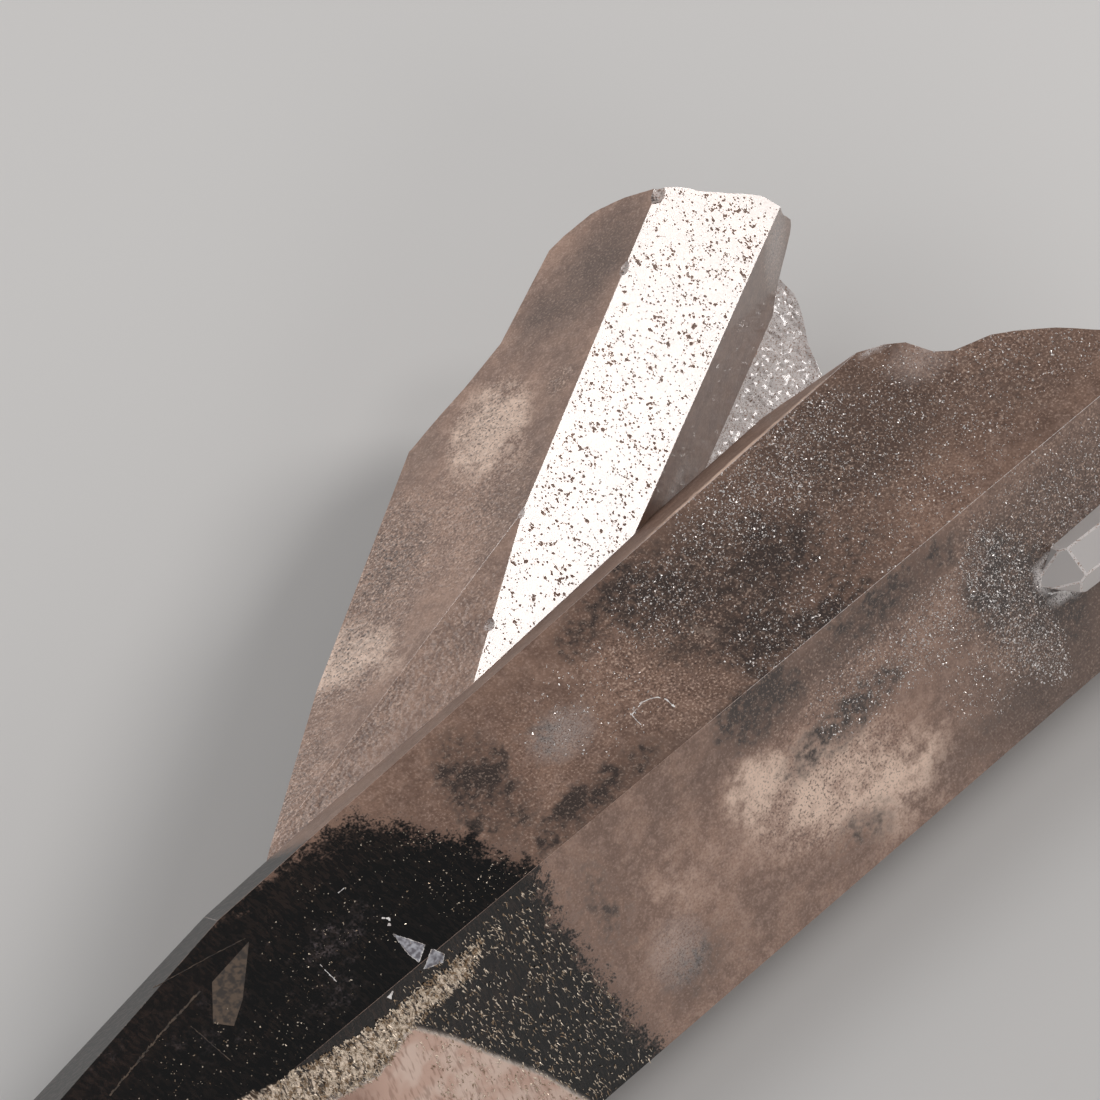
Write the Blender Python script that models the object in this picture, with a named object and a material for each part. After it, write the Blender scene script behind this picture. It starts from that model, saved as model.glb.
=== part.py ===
"""A lying cluster of smoky quartz: one long point with a broken root, a second crystal that leans out
of its far side, a broken stub between the two and a small crystal on the near face, all grown together
in one solid.

Every crystal is built in its own frame, in millimetres: X along its axis and away from its tip, Y
across, Z up. The main crystal's frame is also the cluster's. Metres come in when a mesh is finished.
"""

import math

import bmesh
import bpy
import numpy as np
from mathutils import Matrix, Vector, noise

MM = 0.001
MERGE = 1e-5

# Quartz's angles: prism faces stand 60 degrees apart, and the tip's faces lean this far from the axis.
PRISM_STEP = 60.0
TIP_SLOPE = 51.8

# The main crystal's faces: angle round the axis from +Y towards +Z, distance from the origin, and how
# far the face leans in towards the tip, in degrees.
MAIN_FACES = {
    "top": (90.0, 24.30, 0.80),
    "near": (150.0, 16.67, 2.09),
    "under_near": (210.0, 6.42, 1.10),
    "under": (270.0, 0.0, 0.0),
    "under_far": (330.0, 5.30, 0.86),
    "far_bevel": (0.0, 11.40, 0.86),
    "far": (30.0, 17.79, 0.84),
    "tip_flank": (10.0, 13.94, 1.80),
    "tip_strip": (28.0, 20.54, 7.24),
}
MAIN_TIP = (-69.0, 0.5, 11.6)
MAIN_TIP_TURN = 90.0
MAIN_MINOR_FACE_OFFSET = 1.3
MAIN_REACH = 80.0
BREAK_REACH = 90.0

# Where the broken root meets the main crystal's top, from the far side to the near one: (Y, X).
ROOT_RIM = (
    (14.0, 20.5),
    (10.0, 22.4),
    (6.7, 24.2),
    (6.4, 25.3),
    (5.1, 26.9),
    (3.3, 27.6),
    (2.6, 28.3),
    (2.1, 29.1),
    (1.8, 30.7),
    (0.6, 32.4),
    (-1.1, 34.3),
    (-3.0, 35.8),
    (-6.4, 38.9),
    (-10.0, 41.4),
    (-15.0, 44.5),
)
ROOT_BLOW = (9.0, 20.0)
ROOT_LEAN = 0.10
ROOT_CELL = 0.85

# The second crystal's frame: its axis is level and swings this far from the main one.
SECOND_SWING = 25.0
SECOND_FACES = {
    "crest": (117.0, 12.54, 0.0),
    "outer": (57.0, 23.85, 0.0),
    "outer_low": (69.0, 22.68, 4.25),
    "inner": (177.0, -5.47, 1.44),
    "outer_side": (-3.0, 20.66, 2.40),
    "outer_side_root": (-3.0, 20.76, 6.95),
    "under_outer": (-63.0, 3.10, 0.0),
    "under_inner": (-123.0, -8.70, 0.0),
}
SECOND_START = -22.0
SECOND_REACH = 60.0
SECOND_RIM = (
    (24.0, 13.0),
    (22.0, 16.3),
    (21.1, 18.8),
    (20.4, 20.2),
    (18.9, 24.5),
    (18.5, 30.8),
    (18.2, 32.8),
    (17.6, 33.4),
    (16.5, 34.9),
    (14.8, 35.9),
    (12.4, 36.4),
    (11.2, 37.4),
    (10.0, 37.9),
    (6.7, 40.1),
    (5.3, 40.1),
    (2.0, 40.6),
)
SECOND_BLOW = (14.0, 22.0)
SECOND_LEAN = 0.22
SECOND_CELL = 0.62
# On its inner side the break bulges out: place (Y, Z), how far and how wide.
SECOND_BULGE = (4.9, 12.6, 2.6, 2.6)
NO_BULGE = (0.0, 0.0, 0.0, 1.0)

# The stub grew parallel to the second crystal and broke off in the corner beside it.
STUB_FACES = {
    "crest": (117.0, 4.99, 0.0),
    "outer": (57.0, 12.00, 0.0),
    "inner": (177.0, 3.60, 0.0),
    "outer_side": (-3.0, 9.00, 0.0),
    "under_outer": (-63.0, 1.20, 0.0),
    "under_inner": (-123.0, -2.60, 0.0),
}
STUB_START = 8.0
STUB_RIM = (
    (9.0, 39.0),
    (5.8, 41.0),
    (4.2, 40.4),
    (3.3, 39.3),
    (2.3, 37.4),
    (1.0, 36.1),
    (-0.8, 33.8),
    (-3.0, 29.5),
    (-6.0, 24.0),
)
STUB_BLOW = (2.0, 9.0)
STUB_LEAN = 0.15
STUB_CELL = 0.60

# The small crystal that is half sunk in the near face.
BUD_TIP = (22.9, -10.05, 17.55)
BUD_SWING = -6.5
BUD_DIP = -4.5
BUD_RADIUS = 1.75
BUD_LENGTH = 12.0
BUD_TIP_OFFSET = 0.25

# Growth ledges across the hidden lower far face.
LEDGE_FACE = "under_far"
LEDGE_STARTS = (-50.0, -42.5, -37.0, -28.0, -21.5, -12.0, -4.0, 2.5)
LEDGE_LENGTHS = (7.2, 5.2, 8.6, 6.1, 9.1, 7.6, 6.1, 9.0)
LEDGE_SLOPE = 1.9
LEDGE_WIDTH = 30.0
LEDGE_THICK = 2.0

# Chips along the second crystal's crest and at its broken corner, in its frame: place and radii.
CHIPS = (
    ((29.6, 12.5, 20.55), (0.75, 0.45, 0.40)),
    ((9.6, 12.5, 20.60), (0.60, 0.40, 0.40)),
    ((1.4, 11.7, 20.10), (0.55, 0.40, 0.40)),
    ((36.0, 11.9, 20.85), (1.30, 1.10, 0.75)),
)


def face_plane(angle, distance, lean):
    """The outward normal and the distance of one side face."""
    turn = math.radians(angle)
    dip = math.radians(lean)
    across = math.cos(dip) * math.cos(turn)
    up = math.cos(dip) * math.sin(turn)
    return Vector((-math.sin(dip), across, up)), distance


def tip_planes(tip, turn, minor_offset):
    """The six faces that close a point: three large ones that meet at the tip, three smaller between."""
    slope = math.radians(TIP_SLOPE)
    planes = []
    for step in range(6):
        angle = math.radians(turn + PRISM_STEP * step)
        across = math.sin(slope) * math.cos(angle)
        up = math.sin(slope) * math.sin(angle)
        normal = Vector((-math.cos(slope), across, up))
        offset = minor_offset if step % 2 else 0.0
        planes.append((normal, normal.dot(Vector(tip)) + offset))
    return planes


def crystal_frame(origin=(0.0, 0.0, 0.0), swing=0.0, dip=0.0):
    """From a crystal's own frame to the cluster's: a swing about Z after a dip about Y."""
    turn = Matrix.Rotation(math.radians(swing), 4, "Z")
    pitch = Matrix.Rotation(math.radians(dip), 4, "Y")
    return Matrix.Translation(Vector(origin)) @ turn @ pitch


def finished(bm, name, frame, collection):
    """Turns the working mesh into an object of the collection, in metres."""
    bmesh.ops.transform(bm, matrix=Matrix.Scale(MM, 4) @ frame, verts=bm.verts[:])
    bmesh.ops.recalc_face_normals(bm, faces=bm.faces[:])
    mesh = bpy.data.meshes.new(name)
    bm.to_mesh(mesh)
    bm.free()
    obj = bpy.data.objects.new(name, mesh)
    collection.objects.link(obj)
    return obj


def faceted_block(planes, reach):
    """A cube cut down to the faces, each cut closed again with one flat face."""
    bm = bmesh.new()
    bmesh.ops.create_cube(bm, size=2 * reach)
    for normal, distance in planes:
        everything = bm.verts[:] + bm.edges[:] + bm.faces[:]
        cut = bmesh.ops.bisect_plane(
            bm,
            geom=everything,
            dist=MERGE,
            plane_co=normal * distance,
            plane_no=normal,
            clear_outer=True,
        )
        rim = [item for item in cut["geom_cut"] if isinstance(item, bmesh.types.BMEdge)]
        bmesh.ops.contextual_create(bm, geom=rim)
    return bm


def ripple(y, z, blow):
    """Rings of a shell-like break that widen away from the blow, with a finer unevenness over them."""
    away = math.hypot(y - blow[0], z - blow[1])
    rings = 0.28 * math.sin(4.3 * math.sqrt(away + 1.0))
    broad = 0.9 * noise.fractal(Vector((y, z, 3.0)) * 0.11, 0.9, 2.1, 3)
    fine = 0.22 * noise.fractal(Vector((y, z, 8.0)) * 0.45, 0.7, 2.2, 3)
    return rings + broad + fine


def crest_height(planes, x, y):
    """The height of a crystal's upper side: the lowest of the faces that look up."""
    upper = [(normal, distance) for normal, distance in planes if normal.z > 0.1]
    return min((distance - normal.x * x - normal.y * y) / normal.z for normal, distance in upper)


def bulge_height(y, z, bulge):
    """A rounded swelling of the break."""
    middle_y, middle_z, height, radius = bulge
    away = math.hypot(y - middle_y, z - middle_z) / radius
    return height * math.exp(-away * away)


def break_cutter(name, planes, rim, lean, blow, bulge, cell, frame, collection):
    """What lies beyond a broken end: on the upper side it follows the rim, and it is rippled like glass."""
    across = sorted(point[0] for point in rim)
    along = [point[1] for point in sorted(rim)]
    middle = 0.5 * (across[0] + across[-1])
    reach = 0.5 * (across[-1] - across[0]) + 3.0
    height = crest_height(planes, float(np.interp(middle, across, along)), middle)
    bm = bmesh.new()
    columns = round(2 * reach / cell)
    bmesh.ops.create_grid(bm, x_segments=columns, y_segments=columns, size=reach)
    for vert in bm.verts:
        y = vert.co.x + middle
        z = vert.co.y + 0.5 * height
        edge = float(np.interp(y, across, along))
        crest = crest_height(planes, edge, y)
        wave = ripple(y, z, blow) - ripple(y, crest, blow)
        swelling = bulge_height(y, z, bulge) - bulge_height(y, crest, bulge)
        vert.co = (edge + lean * (z - crest) + wave + swelling, y, z)
    walls = bmesh.ops.extrude_face_region(bm, geom=bm.faces[:])
    for item in walls["geom"]:
        if isinstance(item, bmesh.types.BMVert):
            item.co.x = BREAK_REACH
    return helper(finished(bm, name, frame, collection))


def helper(obj):
    """Marks an object that only shapes another."""
    obj.hide_render = True
    obj.display_type = "WIRE"
    return obj


def ledge_cutter(collection):
    """Thin wedges that leave a stair of growth ledges on the hidden face."""
    angle, distance, lean = MAIN_FACES[LEDGE_FACE]
    normal, _ = face_plane(angle, distance, lean)
    across = normal.cross(Vector((1.0, 0.0, 0.0))).normalized()
    along = across.cross(normal).normalized()
    bm = bmesh.new()
    for start, length in zip(LEDGE_STARTS, LEDGE_LENGTHS):
        slope = Matrix.Rotation(math.radians(LEDGE_SLOPE), 3, across)
        middle = normal * distance + along * (start + 0.5 * length)
        sink = normal * (0.5 * LEDGE_THICK - 0.5 * length * math.sin(math.radians(LEDGE_SLOPE)))
        axes = Matrix((along, across, normal)).transposed()
        place = Matrix.Translation(middle + sink) @ (slope @ axes).to_4x4()
        size = Matrix.Diagonal((length, LEDGE_WIDTH, LEDGE_THICK, 1.0))
        bmesh.ops.create_cube(bm, size=1.0, matrix=place @ size)
    return helper(finished(bm, "ledge wedges", Matrix(), collection))


def chip_cutters(frame, collection):
    """Small scoops along the second crystal's sharp edge."""
    cutters = []
    for number, (place, radii) in enumerate(CHIPS):
        bm = bmesh.new()
        bmesh.ops.create_icosphere(bm, subdivisions=2, radius=1.0)
        squash = Matrix.Diagonal((*radii, 1.0))
        turn = Matrix.Rotation(0.7 * (number + 1), 4, "X")
        shape = Matrix.Translation(Vector(place)) @ turn @ squash
        bmesh.ops.transform(bm, matrix=shape, verts=bm.verts[:])
        cutters.append(helper(finished(bm, f"chip {number + 1}", frame, collection)))
    return cutters


def combine(obj, other, operation):
    """Joins the other object to this one, or takes it away."""
    modifier = obj.modifiers.new(f"{operation.lower()} {other.name}", "BOOLEAN")
    modifier.object = other
    modifier.operation = operation
    modifier.solver = "EXACT"


def main_crystal(collection, helpers):
    """The long point, with its broken root and the ledges of its hidden face."""
    sides = [face_plane(*face) for face in MAIN_FACES.values()]
    point = tip_planes(MAIN_TIP, MAIN_TIP_TURN, MAIN_MINOR_FACE_OFFSET)
    obj = finished(faceted_block(sides + point, MAIN_REACH), "quartz_cluster", Matrix(), collection)
    root = break_cutter(
        "root break",
        sides,
        ROOT_RIM,
        ROOT_LEAN,
        ROOT_BLOW,
        NO_BULGE,
        ROOT_CELL,
        Matrix(),
        helpers,
    )
    combine(obj, ledge_cutter(helpers), "DIFFERENCE")
    combine(obj, root, "DIFFERENCE")
    return obj


def side_crystal(name, faces, start, rim, lean, blow, bulge, cell, helpers):
    """A crystal that leans out beside the main one: closed inside it, broken at its far end."""
    frame = crystal_frame(swing=SECOND_SWING)
    sides = [face_plane(*face) for face in faces.values()]
    closing = (Vector((-1.0, 0.0, 0.0)), -start)
    obj = finished(faceted_block([*sides, closing], SECOND_REACH), name, frame, helpers)
    broken = break_cutter(f"{name} break", sides, rim, lean, blow, bulge, cell, frame, helpers)
    combine(obj, broken, "DIFFERENCE")
    return helper(obj)


def bud_crystal(helpers):
    """A finger of quartz that lies along the near face and sinks into it."""
    frame = crystal_frame(origin=BUD_TIP, swing=BUD_SWING, dip=BUD_DIP)
    planes = [face_plane(PRISM_STEP * step, BUD_RADIUS, 0.0) for step in range(6)]
    planes += tip_planes((0.0, 0.0, 0.0), 0.0, BUD_TIP_OFFSET)
    planes.append((Vector((1.0, 0.0, 0.0)), BUD_LENGTH))
    return helper(finished(faceted_block(planes, MAIN_REACH), "bud", frame, helpers))


def smoky_quartz():
    """Clear quartz with a brown-grey smoke in it."""
    material = bpy.data.materials.new("Smoky quartz")
    material.use_nodes = True
    shader = material.node_tree.nodes["Principled BSDF"]
    shader.inputs["Base Color"].default_value = (0.42, 0.34, 0.30, 1.0)
    shader.inputs["Roughness"].default_value = 0.12
    shader.inputs["Metallic"].default_value = 0.0
    shader.inputs["IOR"].default_value = 1.544
    shader.inputs["Transmission Weight"].default_value = 0.6
    return material


def stand_at_origin(obj, others):
    """Moves the cluster and its helpers so that the middle of its underside is the origin."""
    bpy.context.view_layer.update()
    shape = obj.evaluated_get(bpy.context.evaluated_depsgraph_get())
    corners = np.array([vert.co[:] for vert in shape.data.vertices])
    low = corners.min(axis=0)
    high = corners.max(axis=0)
    shift = Vector((-0.5 * (low[0] + high[0]), -0.5 * (low[1] + high[1]), -low[2]))
    for item in [obj, *others]:
        item.location = shift
    print("cluster moved by", [round(value / MM, 3) for value in shift], "mm")


def clear_scene():
    for obj in list(bpy.data.objects):
        bpy.data.objects.remove(obj, do_unlink=True)


def new_collection(name):
    collection = bpy.data.collections.new(name)
    bpy.context.scene.collection.children.link(collection)
    return collection


def build():
    clear_scene()
    parts = new_collection("Quartz cluster")
    helpers = new_collection("Cutters")
    cluster = main_crystal(parts, helpers)
    second = side_crystal(
        "second crystal",
        SECOND_FACES,
        SECOND_START,
        SECOND_RIM,
        SECOND_LEAN,
        SECOND_BLOW,
        SECOND_BULGE,
        SECOND_CELL,
        helpers,
    )
    stub = side_crystal(
        "stub",
        STUB_FACES,
        STUB_START,
        STUB_RIM,
        STUB_LEAN,
        STUB_BLOW,
        NO_BULGE,
        STUB_CELL,
        helpers,
    )
    for piece in (second, stub, bud_crystal(helpers)):
        combine(cluster, piece, "UNION")
    for chip in chip_cutters(crystal_frame(swing=SECOND_SWING), helpers):
        combine(cluster, chip, "DIFFERENCE")
    cluster.data.materials.append(smoky_quartz())
    stand_at_origin(cluster, list(helpers.objects))
    return cluster


build()
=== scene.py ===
"""The looks of a lying cluster of smoky quartz: milky brown-grey crystal with clear dark patches, an etched
bright face, frosted and shell-broken ones, and silvery dust in its skin, on a pale floor in soft light.

Places on the crystals are given in millimetres in a face's own frame: U along the crystal's axis and away
from its tip, V across the face.
"""

import math
import random

import bmesh
import bpy
import numpy as np
from mathutils import Matrix, Vector, noise
from mathutils.bvhtree import BVHTree
from mathutils.geometry import delaunay_2d_cdt


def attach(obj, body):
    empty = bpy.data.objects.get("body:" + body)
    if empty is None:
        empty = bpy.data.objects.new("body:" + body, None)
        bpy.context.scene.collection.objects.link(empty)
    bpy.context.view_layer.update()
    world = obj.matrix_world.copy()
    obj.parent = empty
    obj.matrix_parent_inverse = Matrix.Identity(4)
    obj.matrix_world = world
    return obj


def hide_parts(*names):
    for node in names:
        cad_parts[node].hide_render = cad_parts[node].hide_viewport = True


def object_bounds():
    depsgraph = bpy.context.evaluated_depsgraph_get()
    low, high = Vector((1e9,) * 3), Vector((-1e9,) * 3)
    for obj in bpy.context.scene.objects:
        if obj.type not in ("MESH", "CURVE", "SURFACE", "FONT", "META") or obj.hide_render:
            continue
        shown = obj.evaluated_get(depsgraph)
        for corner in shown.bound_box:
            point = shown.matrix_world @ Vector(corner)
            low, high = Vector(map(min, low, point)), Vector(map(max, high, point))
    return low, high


MM = 0.001

# Where the main crystal's own frame starts, in the shared frame.
CLUSTER_START = Vector((12.349, -7.712, 0.0)) * MM

# The view: where it looks, from where, and how wide.
VIEW_TARGET = CLUSTER_START + Vector((0.0, 9.60, 25.64)) * MM
VIEW_AZIMUTH = -46.3
VIEW_ELEVATION = 54.8
VIEW_DISTANCE = 0.400
LENS = 218.18
SENSOR = 36.0

# The soft boxes: name, direction, distance in metres, half their angle in degrees, brightness and colour.
# The crest box stands where the crest mirrors it, and the edge box where the worn edges do.
SOFT_BOXES = (
    ("crest box", (0.728, -0.270, 0.630), 0.6, 8.0, 16.5, (1.0, 0.97, 0.95)),
    ("edge box", (0.391, -0.370, 0.841), 0.6, 5.0, 10.0, (1.0, 0.99, 0.98)),
    ("far box", (-0.10, 0.93, 0.34), 0.8, 15.0, 5.0, (1.0, 0.98, 0.96)),
    ("near box", (-0.30, -0.85, 0.42), 0.8, 15.0, 2.4, (1.0, 0.98, 0.96)),
    ("fill box", (-0.55, 0.25, 0.80), 0.8, 18.0, 1.6, (1.0, 1.0, 1.0)),
)
WORLD_LIGHT = 0.22

# The flat faces that get a finish of their own: the swing of the crystal's axis, the face's angle round
# that axis, its lean towards the tip, and its distance from the cluster's start in millimetres.
FACES = {
    "top": (0.0, 90.0, 0.80, 24.30),
    "near": (0.0, 150.0, 2.09, 16.67),
    "far": (0.0, 30.0, 0.84, 17.79),
    "tip_strip": (0.0, 28.0, 7.24, 20.54),
    "crest": (25.0, 117.0, 0.0, 12.54),
    "outer": (25.0, 57.0, 0.0, 23.85),
    "outer_low": (25.0, 69.0, 4.25, 22.68),
    "inner": (25.0, 177.0, 1.44, -5.47),
    "stub_crest": (25.0, 117.0, 0.0, 4.99),
}
SAME_NORMAL = 0.99995
SAME_PLANE = 0.02

# Points this close become one, in millimetres, and so do faces whose slopes are this near, in degrees.
WELD = 0.0005
WORN_WELD = 0.004
SAME_SLOPE = 0.02

# A face smaller than this, in square millimetres, belongs to a break. A chip gets a painted highlight, a
# pale colour like the crest's reflection, where it lies this close to the edge between the crest and the
# outer face.
BROKEN_PIECE = 1.5
CHIP_REACH = 1.3

# How finely each face is divided, in millimetres.
SPACING = {
    "top": 0.45,
    "near": 0.45,
    "far": 0.8,
    "tip_strip": 0.8,
    "crest": 0.6,
    "outer": 0.19,
    "outer_low": 0.22,
    "inner": 0.35,
    "stub_crest": 0.22,
}
LONGEST_EDGE = 0.6
WORN_EDGE = 0.045
SMALL_CRYSTAL_EDGE = 0.10
SMALL_EDGE_ANGLE = 0.15

NAMES = list(FACES) + ["plain", "break", "edge", "bud"]
PLAIN = len(FACES)
BREAK = PLAIN + 1
EDGE = PLAIN + 2
BUD = PLAIN + 3
BUD_BOX = ((22.0, -14.0, 14.0), (37.0, -9.0, 20.5))

# The relief: ripples on the breaks, etch pits on the crest, frosting on the outer faces, and shell rings
# on the stub, which spread from one place. It fades out towards a face's border. A pit's radius comes from
# a lognormal draw, kept between two sizes, and some pits stand alone while the rest crowd.
RIPPLE_PITCH = 1.9
FINE_RIPPLE = 2.3
RIPPLE_DEPTH = 0.035
PIT_COUNT = 4200
PIT_SIDES = 5
PIT_STEEPNESS = 0.6
PIT_TYPICAL = 0.05
PIT_SIZES = (0.035, 0.14)
PIT_SPREAD = (-2.95, 0.38)
PIT_ALONE = 0.8
PIT_CROWD = (3, 7)
PIT_CROWD_REACH = 0.3
FROST_DEPTH = 0.022
RELIEF_FADE = 0.35
STUB_RINGS = (42.5, 6.0)
STUB_RING_PITCH = 0.75
STUB_RING_DEPTH = 0.03
STUB_LUMP_DEPTH = 0.24
STUB_ROUGH_END = (35.0, 2.0)

# The markings, each a strength at every corner. "dark", "glow" and "band" tell how far inside its edge a
# place lies, in millimetres. "tone" is painted light above 0 and painted shade below it.
MASKS = ("dark", "glow", "band", "rim", "cloud", "warm", "pale", "grain", "tone", "frost", "glass")

# Beyond this distance from its edge, a zone's inside and outside are even.
ZONE_REACH = 2.0

# The glassy zone's bright rim fades out towards the tip, over this stretch of U.
RIM_END = -44.0
RIM_FADE = 6.0

# The faces without a name: where the tip's clear dark part ends, their frosting and that of the breaks,
# the strength of the painted highlight on chips, of the pale worn edges from the tip to the root, partly
# wear and partly painted highlight, and of the painted highlights on the small crystal's edges.
PLAIN_DARK_END = -24.0
PLAIN_FROST = 0.15
BREAK_FROST = 0.3
CHIP_HIGHLIGHT = 0.7
EDGE_WEAR_AND_HIGHLIGHT = (0.15, 0.9)
SMALL_EDGE_HIGHLIGHT = 1.3

# Clear, dark crystal below the milky part.
DARK_ZONES = {
    "top": (
        (-90.0, 16.0), (-27.8, 6.6), (-24.5, 5.9), (-21.5, 5.2), (-19.2, 2.6), (-17.6, -0.4),
        (-16.5, -4.2), (-16.2, -9.0), (-90.0, -9.0),
    ),
    "near": (
        (-16.2, 21.0), (-16.4, 15.5), (-15.7, 10.6), (-14.7, 6.2), (-14.1, 2.7), (-13.8, -4.0),
        (-90.0, -4.0), (-90.0, 26.0),
    ),
    "far": ((-90.0, -30.0), (-25.0, -30.0), (-22.0, 10.0), (-90.0, 10.0)),
    "tip_strip": ((-90.0, -30.0), (-18.0, -30.0), (-18.0, 10.0), (-90.0, 10.0)),
}

# A glassy pinkish zone with a shell-like edge, under the dark one.
GLOW_ZONES = {
    "near": (
        (-27.7, 15.6), (-25.6, 13.0), (-23.7, 10.0), (-21.4, 6.6), (-19.6, 3.0), (-18.4, -2.0),
        (-47.0, -2.0), (-51.5, 1.6), (-49.0, 4.4), (-53.0, 8.0), (-50.0, 11.0), (-46.0, 14.6),
        (-40.0, 16.4), (-35.5, 15.6), (-31.0, 14.5),
    ),
}

# A rough cream band beside the edge between the top and the near face.
BANDS = {
    "near": (
        (-21.5, 16.9), (-26.2, 17.0), (-29.6, 17.1), (-34.8, 18.0), (-38.5, 19.4), (-50.0, 20.0),
        (-46.0, 17.6), (-40.0, 16.6), (-35.5, 15.6), (-31.0, 14.5), (-27.7, 15.6), (-23.0, 15.8),
    ),
    "top": ((-35.5, -4.6), (-38.4, -3.1), (-44.0, -3.2), (-49.0, -5.0), (-44.0, -6.0)),
}

# Soft markings by face: dark wisps, warm patches, silvery patches, coarse grain, and painted light and
# shade. A row is a strength, a middle, half the length and width, and the turn where there is one.
CLOUDS = {
    "top": (
        (0.95, 2.6, 2.9, 3.6, 2.4), (1.0, 4.6, -3.0, 3.2, 3.4, 20.0), (1.0, 8.2, -5.6, 5.0, 2.2),
        (0.95, 9.4, 0.2, 4.8, 4.2), (0.9, 1.4, 5.4, 4.4, 2.2), (0.7, 5.6, 0.8, 7.4, 6.4),
        (0.8, -2.5, 4.6, 2.8, 1.8), (1.0, 1.4, -7.2, 5.6, 2.8), (0.9, -10.5, -3.8, 6.4, 1.7),
        (0.9, -14.2, 1.4, 3.2, 5.0, -18.0), (0.45, -9.4, 1.0, 4.0, 2.4),
        (0.55, 12.5, -3.2, 6.0, 3.4, 10.0), (0.42, 18.0, 1.5, 9.0, 5.0), (0.35, 30.0, -1.5, 7.0, 4.0),
    ),
    "near": (
        (1.0, 1.8, 17.0, 4.4, 2.9), (0.75, 12.5, 17.0, 8.0, 2.2), (1.0, 22.8, 9.6, 3.2, 5.4, 20.0),
        (0.8, 20.5, 12.5, 3.6, 4.6), (0.75, 6.5, 12.1, 7.0, 1.9, 5.0), (0.5, 4.6, 4.8, 3.6, 2.0),
        (0.5, -9.6, 5.4, 3.8, 2.4, 20.0), (0.45, -13.2, 12.6, 3.0, 6.0), (0.4, 17.0, 4.6, 8.0, 2.4),
    ),
}
WARM = {
    "top": (
        (0.8, 2.6, -0.6, 1.3, 2.1), (0.6, 0.8, 1.0, 1.0, 1.8, 20.0), (0.6, -0.4, 5.2, 2.0, 0.9),
        (0.3, -3.8, -1.2, 2.8, 2.2),
    ),
    "near": (
        (1.25, -0.4, 12.3, 3.8, 3.0, -10.0), (1.0, 3.4, 9.6, 8.4, 5.6, -20.0),
        (0.95, 8.0, 6.0, 7.4, 4.2, -8.0), (0.5, -8.6, 10.6, 6.6, 5.4), (0.85, 6.0, 1.2, 20.0, 1.0),
    ),
    "outer": (
        (1.3, 17.0, 4.9, 5.4, 3.8, 15.0), (0.5, 13.6, 1.6, 2.8, 2.2), (1.1, -0.6, 8.8, 3.8, 5.0, 10.0),
        (0.75, -1.6, 5.2, 1.8, 2.6), (0.85, -15.6, 8.4, 2.6, 1.8), (0.35, 9.4, 5.0, 3.6, 3.0),
    ),
    "outer_low": ((0.7, -2.8, 9.6, 2.2, 3.4), (0.4, -12.5, 11.6, 5.0, 2.2)),
    "far": ((1.3, 13.0, -17.3, 11.0, 1.7),),
}
PALE = {
    "top": (
        (0.22, 26.6, 3.6, 2.6, 1.8), (0.8, 27.9, 4.7, 1.3, 0.5, 60.0), (0.9, 25.6, 6.2, 1.8, 0.35),
        (0.3, -8.4, 0.6, 2.6, 1.8),
    ),
    "near": (
        (1.0, 23.1, 10.5, 0.5, 1.3), (1.3, 27.4, 11.5, 4.6, 0.32), (1.3, 24.4, 8.5, 1.6, 0.45, -10.0),
        (1.1, 30.0, 8.0, 5.6, 0.3), (0.25, -10.0, 7.0, 2.4, 2.6),
    ),
    "stub_crest": ((1.2, 38.0, 6.5, 40.0, 20.0),),
    "inner": ((0.5, 39.0, 15.0, 2.2, 5.0), (0.6, 17.0, 13.3, 5.0, 1.3)),
}
GRAIN = {
    "outer": (
        (1.0, 6.5, 8.6, 6.8, 4.6), (1.0, 0.0, 8.8, 5.4, 4.4), (0.9, 17.3, 5.0, 4.6, 3.2, 10.0),
        (0.6, 10.5, 3.6, 7.0, 4.6), (0.7, -12.0, 8.6, 7.0, 2.8), (0.7, 20.6, 0.8, 1.4, 1.0),
    ),
    "outer_low": ((0.9, -4.0, 11.4, 5.4, 4.4), (0.6, -13.0, 11.0, 6.0, 3.4), (0.35, 0.0, 5.0, 6.0, 4.0)),
    "stub_crest": ((1.0, 32.4, 7.6, 3.4, 2.2), (0.6, 38.4, 7.0, 1.8, 3.0, 30.0)),
    "near": (
        (0.8, 4.0, 9.4, 6.8, 4.2, -10.0), (0.9, 21.0, 11.5, 5.0, 7.0, 10.0),
        (0.5, 9.0, 14.6, 10.0, 3.4), (0.5, 30.0, 14.0, 14.0, 5.0),
    ),
    "top": (
        (0.8, 2.0, 0.0, 8.0, 7.0), (0.45, 16.0, 1.0, 12.0, 8.0), (0.5, 31.0, 0.0, 8.0, 6.0),
        (0.3, -12.0, 0.0, 7.0, 6.0),
    ),
    "inner": ((0.9, 39.0, 15.0, 2.6, 5.0), (0.9, 17.0, 13.3, 6.0, 1.5)),
}
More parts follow.
